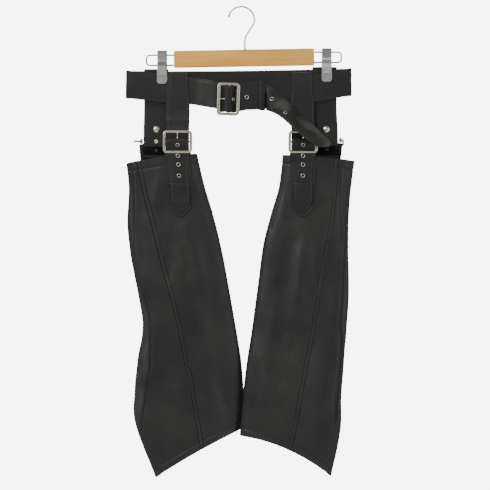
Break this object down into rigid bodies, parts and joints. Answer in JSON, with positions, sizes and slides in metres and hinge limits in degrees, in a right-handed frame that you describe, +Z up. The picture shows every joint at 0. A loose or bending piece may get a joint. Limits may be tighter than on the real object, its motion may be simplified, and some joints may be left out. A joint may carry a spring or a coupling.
{
  "type": "leather chaps on a clip hanger",
  "caption": "Black leather leg covers with a buckled waist belt, hip straps and zipped open legs, hung flat from a wooden bar hanger with sprung clips",
  "frame": {"origin": "inside top of the hook, where a rail carries it", "axes": "+Z up, front with the buckle faces -Y, +X to the right as seen from the front"},
  "size_m": [0.4143, 0.0856, 0.8529],
  "materials": {
    "black_leather": "soft grained",
    "belt_leather": "smooth, slightly waxed",
    "nickel": "polished nickel plate",
    "zip_metal": "dull metal teeth",
    "steel_wire": "bright plated wire and sheet",
    "bar_wood": "satin varnish",
    "clip_pad": "clear soft plastic"
  },
  "bodies": {
    "chaps": {"leg_front_left": "black_leather", "leg_front_right": "black_leather", "leg_side_left": "black_leather", "leg_side_right": "black_leather", "leg_back_left": "black_leather", "leg_back_right": "black_leather", "front_strap_left": "black_leather", "front_strap_right": "black_leather", "back_strap_left": "black_leather", "back_strap_right": "black_leather", "hip_tab_left": "black_leather", "hip_tab_right": "black_leather", "hip_pocket_left": "black_leather", "hip_pocket_right": "black_leather", "belt": "belt_leather", "belt_keeper": "belt_leather", "belt_buckle": "nickel", "belt_prong": "nickel", "belt_eyelet_1": "nickel", "belt_eyelet_2": "nickel", "belt_eyelet_3": "nickel", "hip_buckle_left": "nickel", "hip_buckle_right": "nickel", "hip_prong_left": "nickel", "hip_prong_right": "nickel", "hip_eyelet_left_1": "nickel", "hip_eyelet_left_2": "nickel", "hip_eyelet_left_3": "nickel", "hip_eyelet_left_4": "nickel", "hip_eyelet_right_1": "nickel", "hip_eyelet_right_2": "nickel", "hip_eyelet_right_3": "nickel", "hip_eyelet_right_4": "nickel", "snap_left_1": "nickel", "snap_left_2": "nickel", "snap_right_1": "nickel", "snap_right_2": "nickel", "zip_chain_left": "zip_metal", "zip_chain_right": "zip_metal", "zip_slider_left": "zip_metal", "zip_slider_right": "zip_metal", "hook": "steel_wire", "hanger_wire_left": "steel_wire", "hanger_wire_right": "steel_wire", "clip_spring_left": "steel_wire", "clip_spring_right": "steel_wire", "clip_arm_front_left": "steel_wire", "clip_arm_front_right": "steel_wire", "clip_arm_back_left": "steel_wire", "clip_arm_back_right": "steel_wire", "clip_pad_front_left": "clip_pad", "clip_pad_front_right": "clip_pad", "clip_pad_back_left": "clip_pad", "clip_pad_back_right": "clip_pad", "hanger_bar": "bar_wood"},
    "pull_left": {"zip_pull_left": "zip_metal"},
    "pull_right": {"zip_pull_right": "zip_metal"}
  },
  "joints": [
    {"name": "zip_pull_left_turn", "type": "hinge", "parent": "chaps", "child": "pull_left", "pos_m": [-0.18603, 0.00954, -0.24191], "axis": [0, 1, 0], "range_deg": [-88, 80]},
    {"name": "zip_pull_right_turn", "type": "hinge", "parent": "chaps", "child": "pull_right", "pos_m": [0.18476, 0.00942, -0.24008], "axis": [0, -1, 0], "range_deg": [0, 168]}
  ]
}
